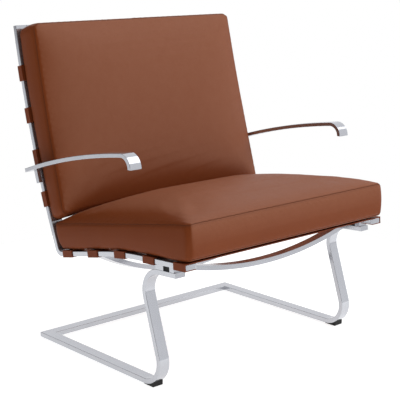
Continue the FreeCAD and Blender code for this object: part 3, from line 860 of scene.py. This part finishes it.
# %% [markdown]
# In each valley lies the edge of the doubled leather, and beside the upper one runs a row of stitches.
# The line is a tube laid on the skin, coloured darker than the cushion, partly as edge dye and partly
# as painted shade of the seam's groove, so that it shows as a thin dark line. A stitch is a small
# grain of thread, square in section with pointed ends, and the same grain is set down every five
# millimetres.

# %% Sewn edges and stitches
EDGE = 0.0008
EDGE_STEP = 0.004
EDGE_PALE = (0.150, 0.040, 0.013, 1.0)
EDGE_DEEP = (0.110, 0.027, 0.009, 1.0)
STITCH_PITCH = 0.0050
STITCH = 0.0034
THREAD = 0.00035
STITCH_SETBACK = 0.0045

# Darker than the cushion: partly edge dye, partly painted shade of the seam's groove.
edge_dye_and_seam_shade = leather_material("cut_edge", EDGE_PALE, EDGE_DEEP, 0.5 * PEBBLE, 0.5, 1e-4)


def on_skin(piece, line):
    """The nearest points of a skin, with the outward directions there."""
    skin = skin_of(piece)
    found = [skin.find_nearest(Vector(p)) for p in line]
    return np.array([f[0] for f in found]), np.array([f[1] for f in found])


def unit(vectors):
    return vectors / np.linalg.norm(vectors, axis=-1, keepdims=True)


def resampled(line, pitch):
    """Evenly spaced points of a closed line."""
    closed = np.concatenate([line, line[:1]])
    walked = np.concatenate([[0.0], np.cumsum(np.linalg.norm(np.diff(closed, axis=0), axis=1))])
    count = int(walked[-1] / pitch)
    evenly = np.linspace(0.0, walked[-1], count, endpoint=False)
    return np.stack([np.interp(evenly, walked, closed[:, k]) for k in range(3)], axis=1)


def laid_out(piece, line, closed):
    """A line brought onto the skin, with its direction and the outward direction at each point."""
    line, normal = on_skin(piece, line)
    ahead = np.roll(line, -1, axis=0) - np.roll(line, 1, axis=0) if closed else np.gradient(line, axis=0)
    way = unit(ahead)
    return line, way, unit(normal - way * np.sum(normal * way, axis=1, keepdims=True))


def cut_edge(piece, cushion, high):
    line, way, out = laid_out(piece, resampled(cushion.seam(high), EDGE_STEP), True)
    name = "%s_edge_%s" % (cushion.name, "high" if high else "low")
    tube = closed_tube(name, line, out, np.cross(way, out), EDGE, edge_dye_and_seam_shade)
    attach(tube, cushion.name)


def stitch_row(piece, cushion):
    """A row on the side strip, beside the high seam: grains with pointed ends and square waists."""
    height = cushion.thickness(cushion.s) - STITCH_SETBACK
    row = resampled(cushion.place(cushion.x, cushion.s, height), STITCH_PITCH)
    line, way, out = laid_out(piece, row, True)
    axes = np.stack([way, np.cross(out, way), out], axis=1)
    half, waist = STITCH / 2.0, STITCH / 4.0
    square = [[THREAD * np.cos(a), THREAD * np.sin(a)] for a in np.arange(4) * np.pi / 2.0]
    waists = [[end] + corner for end in (-waist, waist) for corner in square]
    shape = np.array([[-half, 0, -THREAD]] + waists + [[half, 0, -THREAD]])
    tris = [[0, 1 + (k + 1) % 4, 1 + k] for k in range(4)]
    tris += [[1 + k, 1 + (k + 1) % 4, 5 + (k + 1) % 4] for k in range(4)]
    tris += [[1 + k, 5 + (k + 1) % 4, 5 + k] for k in range(4)]
    tris += [[9, 5 + k, 5 + (k + 1) % 4] for k in range(4)]
    stitches = repeated(cushion.name + "_stitches_high", shape, tris, line, axes, thread)
    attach(stitches, cushion.name)


for piece, cushion in ((seat_piece, seat), (back_piece, back)):
    for high in (0.0, 1.0):
        cut_edge(piece, cushion, high)
    stitch_row(piece, cushion)
    print("sewn:", cushion.name)

# %% [markdown]
# ## Zips
#
# Each cover opens with a zip, so that the foam can be taken out: at the rear of the seat and under
# the back. A zip is a woven tape, two rows of metal teeth that mesh, and a slider with a pull. We lay
# all three on the finished skin, along a line half way up the side strip.

# %% Zips
ZIP_HALF = 0.24
TAPE_HALF = 0.004
TAPE_THICK = 0.0004
TOOTH_PITCH = 0.0026
TOOTH_STAGGER = 0.0006
TOOTH = (0.0011, 0.0022, 0.0010, 0.0006)
SLIDER = (0.0090, 0.0064, 0.0014, 0.0012)
SLIDER_POINT = -8
PULL = (0.0160, 0.0040, 0.0008, 0.0020)
PULL_POINT = -12


def block(along, across, up, middle):
    """Corners and faces of a small box whose middle stands at a height above the skin."""
    corners = np.array([[i, j, k] for i in (-0.5, 0.5) for j in (-0.5, 0.5) for k in (-0.5, 0.5)])
    faces = [[0, 1, 3, 2], [4, 6, 7, 5], [0, 4, 5, 1], [2, 3, 7, 6], [0, 2, 6, 4], [1, 5, 7, 3]]
    return corners * [along, across, up] + [0.0, 0.0, middle], faces


def zip_parts(piece, cushion, end):
    """Tape as a flat band on the skin, teeth left and right in turn, slider near one end."""
    x = np.linspace(-ZIP_HALF, ZIP_HALF, int(2.0 * ZIP_HALF / TOOTH_PITCH)) / cushion.half_width
    s = np.full(len(x), end)
    line, way, out = laid_out(piece, cushion.place(x, s, cushion.thickness(s) / 2.0), False)
    across = np.cross(out, way)
    axes = np.stack([way, across, out], axis=1)
    signs = ((-1, -1), (1, -1), (1, 1), (-1, 1))
    ring = [across * j * TAPE_HALF + out * k * TAPE_THICK for j, k in signs]
    rings = line[:, None, :] + np.stack(ring, axis=1)
    band = closed_skin(cushion.name + "_zip_tape", rings, line[0], line[-1], tape)
    sideways = np.where(np.arange(len(x)) % 2 == 0, 1.0, -1.0)[:, None] * TOOTH_STAGGER * across
    teeth = repeated(cushion.name + "_zip_teeth", *block(*TOOTH), line + sideways, axes, steel)
    there = slice(SLIDER_POINT, SLIDER_POINT + 1)
    slider = repeated(cushion.name + "_zip_slider", *block(*SLIDER), line[there], axes[there], steel)
    there = slice(PULL_POINT, PULL_POINT + 1)
    pull = repeated(cushion.name + "_zip_pull", *block(*PULL), line[there], axes[there], steel)
    for part, finish in ((band, "zip_tape"), (teeth, "steel"), (slider, "steel"), (pull, "steel")):
        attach(part, cushion.name)
        part.data.polygons.foreach_set("use_smooth", np.zeros(len(part.data.polygons), dtype=bool))
    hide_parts(cushion.name + "_zip")
    return len(teeth.data.polygons)


for piece, cushion, end in ((seat_piece, seat, 1.0), (back_piece, back, -1.0)):
    print(cushion.name, "zip, faces in its teeth:", zip_parts(piece, cushion, end))

# %% [markdown]
# ## Floor, light and camera
#
# The chair stands on a pale floor. Chrome needs something to mirror: the room is bright to the right
# and above, and dim to the left. The floor glows a little, as a lit paper sweep does, so
# that shadows stay soft.

# %% Floor
FLOOR_HALF = 1.15
FLOOR_GLOW = 0.80
FLOOR_DEEP = (0.50, 0.50, 0.50, 1.0)
FLOOR_PALE = (0.53, 0.53, 0.53, 1.0)


def floor_material():
    material, net = new_material("pale_floor")
    tint = noise(net, object_place(net), 1.5, 2.0)
    finish_material(net, {
        "Base Color": mix_colours(net, tint, FLOOR_DEEP, FLOOR_PALE),
        "Roughness": 0.8,
        "Emission Color": (1.0, 1.0, 1.0, 1.0),
        "Emission Strength": FLOOR_GLOW,
    })
    return material


corner = FLOOR_HALF * np.array([[-1, -1, 0], [1, -1, 0], [1, 1, 0], [-1, 1, 0]], dtype=float)
floor = new_piece("pale_floor", corner, [[0, 1, 2, 3]], floor_material())
floor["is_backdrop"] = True
print("floor", 2 * FLOOR_HALF, "m wide")


# %% World
DIM_WALL = 0.12
RIGHT_WALL = 0.85
CEILING = 0.55
LOWER_HALF = 0.90
BRIGHTEST = 2.0
LIGHT_SIZE = (2.6, 2.2)
LIGHT_PLACE = (1.5, -1.45, 2.9)
LIGHT_TARGET = (0.0, 0.1, 0.5)


def build_world():
    world = bpy.data.worlds.new("studio")
    bpy.context.scene.world = world
    world.use_nodes = True
    net = Net(world.node_tree)
    direction = net.node("ShaderNodeTexCoord")["Generated"]
    split = net.node("ShaderNodeSeparateXYZ", None, {"Vector": direction})
    right = smooth_step(net, split["X"], -0.30, 0.40)
    above = smooth_step(net, split["Z"], 0.30, 0.80)
    below = smooth_step(net, split["Z"], -0.10, -0.02, 1.0, 0.0)
    wall = DIM_WALL + RIGHT_WALL * right + CEILING * above * (1 - right)
    bright = wall + (LOWER_HALF - wall) * below
    full = (BRIGHTEST, BRIGHTEST, 1.02 * BRIGHTEST, 1.0)
    room = mix_colours(net, bright * (1.0 / BRIGHTEST), (0.0, 0.0, 0.0, 1.0), full)
    seen = net.node("ShaderNodeLightPath")["Is Camera Ray"]
    colour = mix_colours(net, seen, room, (1.0, 1.0, 1.0, 1.0))
    light = net.node("ShaderNodeBackground", None, {"Color": colour, "Strength": 1.0})["Background"]
    net.node("ShaderNodeOutputWorld", None, {"Surface": light})


def soft_light(name, size, power, place, target):
    data = bpy.data.lights.new(name, "AREA")
    data.shape = "RECTANGLE"
    data.size, data.size_y = size
    data.energy = power
    lamp = bpy.data.objects.new(name, data)
    bpy.context.scene.collection.objects.link(lamp)
    lamp.location = place
    lamp.rotation_euler = (Vector(target) - Vector(place)).to_track_quat("-Z", "Y").to_euler()


build_world()
soft_light("key_light", LIGHT_SIZE, 34.0, LIGHT_PLACE, LIGHT_TARGET)
print("world and one soft light")

# %% [markdown]
# The camera stands in front and to the left of the chair, a little above its back, with a long lens.
# Its place was worked out from the photograph's vanishing points and the chair's known sizes.

# %% Camera
FRAME_PIXELS = 400.0
FOCAL_PIXELS = 1070.5
HORIZON_CENTRE = 163.3
SENSOR = 36.0
CAMERA_PLACE = Vector((-1.8637, -2.0588, 0.9867))
CAMERA_WAY = Vector((0.6596, 0.7288, -0.1836))


def build_camera():
    data = bpy.data.cameras.new("camera")
    data.sensor_width = SENSOR
    data.lens = FOCAL_PIXELS / FRAME_PIXELS * SENSOR
    data.shift_y = (HORIZON_CENTRE - FRAME_PIXELS / 2.0) / FRAME_PIXELS
    data.clip_end = 50.0
    camera = bpy.data.objects.new("camera", data)
    bpy.context.scene.collection.objects.link(camera)
    camera.location = CAMERA_PLACE
    camera.rotation_euler = CAMERA_WAY.to_track_quat("-Z", "Y").to_euler()
    bpy.context.scene.camera = camera


build_camera()
bpy.context.scene.view_settings.view_transform = "Standard"
print("camera set")

# %% [markdown]
# Last, we find the box round the finished chair, leaving out the floor.

# %% Sizes, and finish
low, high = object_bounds()
